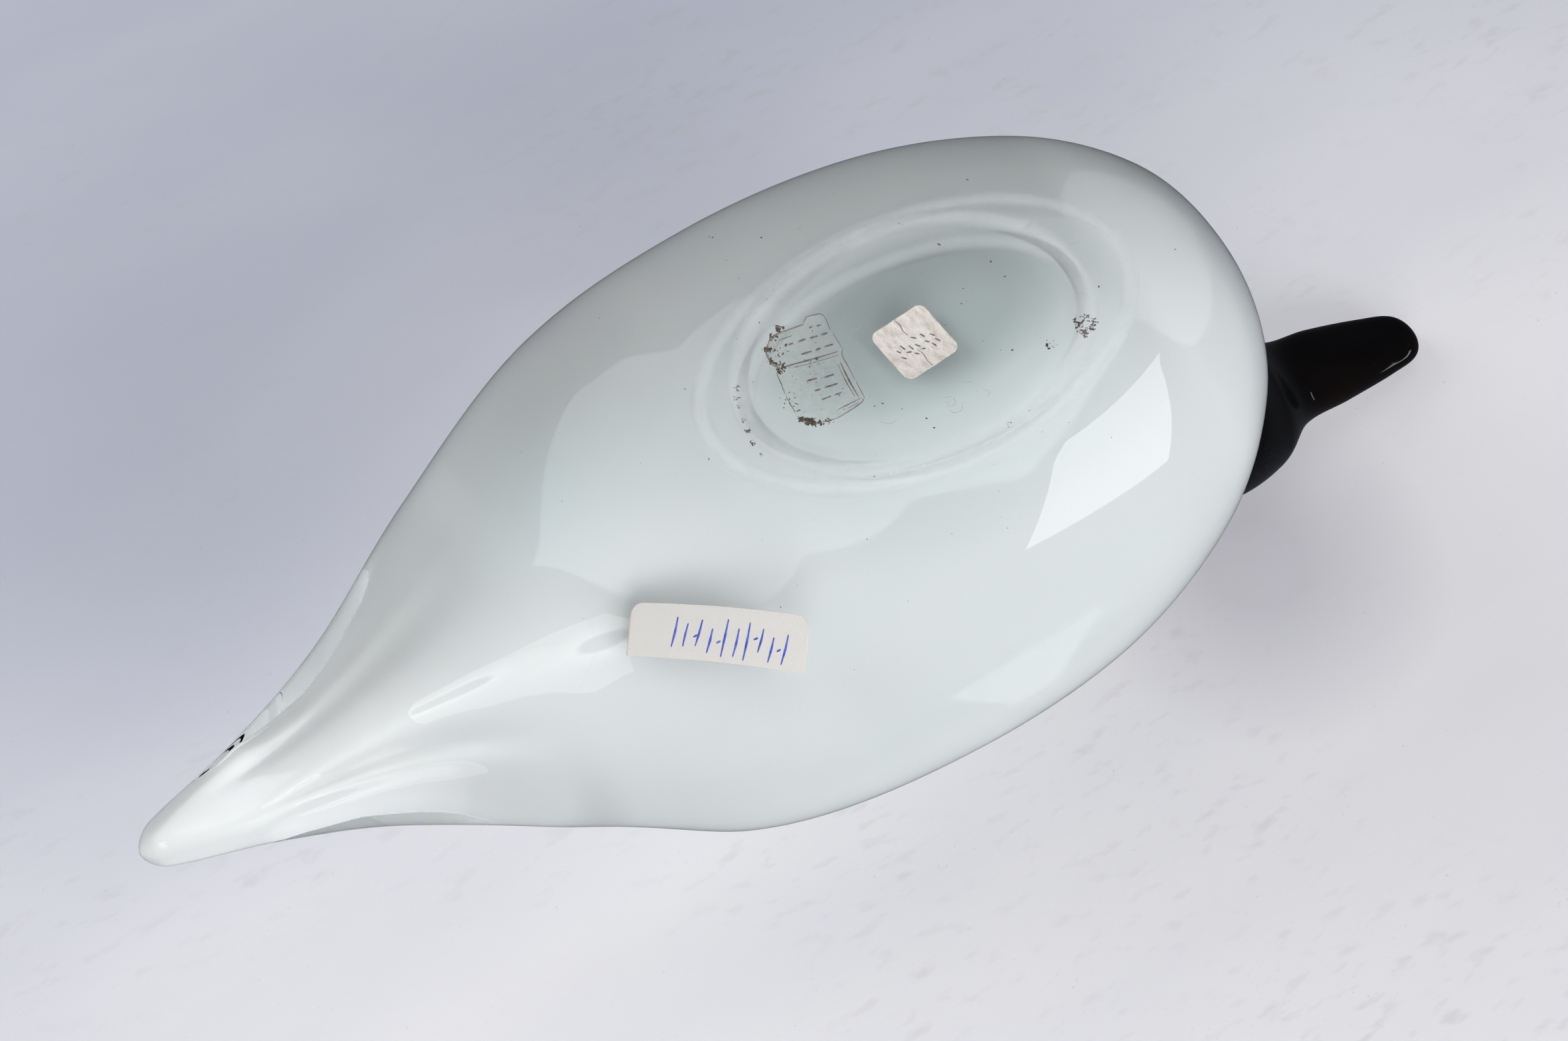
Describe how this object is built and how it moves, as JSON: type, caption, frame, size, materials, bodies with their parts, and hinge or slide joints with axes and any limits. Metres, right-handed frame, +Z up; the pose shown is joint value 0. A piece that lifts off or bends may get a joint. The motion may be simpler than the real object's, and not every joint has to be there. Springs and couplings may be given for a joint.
{
  "type": "glass duck figurine",
  "caption": "Glass duck on an oval hollowed foot, with an opal white body drawn out to a tail and a black neck, head and long flat bill.",
  "frame": {"origin": "middle of the object's box on the plane that its foot stands on", "axes": "+X towards the bill, +Y towards the duck's left side, +Z up"},
  "size_m": [0.3474, 0.135, 0.1277],
  "materials": {
    "opal_glass": "clear glossy glass over opal white glass",
    "black_glass": "glossy black glass",
    "paper": "matt off-white paper with blue pen strokes",
    "old_paper": "matt mottled old paper",
    "worn_film": "worn translucent label film"
  },
  "bodies": {
    "root": {"body": "opal_glass", "head": "black_glass", "paper_tag": "paper", "square_tag": "old_paper", "worn_label": "worn_film"}
  },
  "joints": []
}
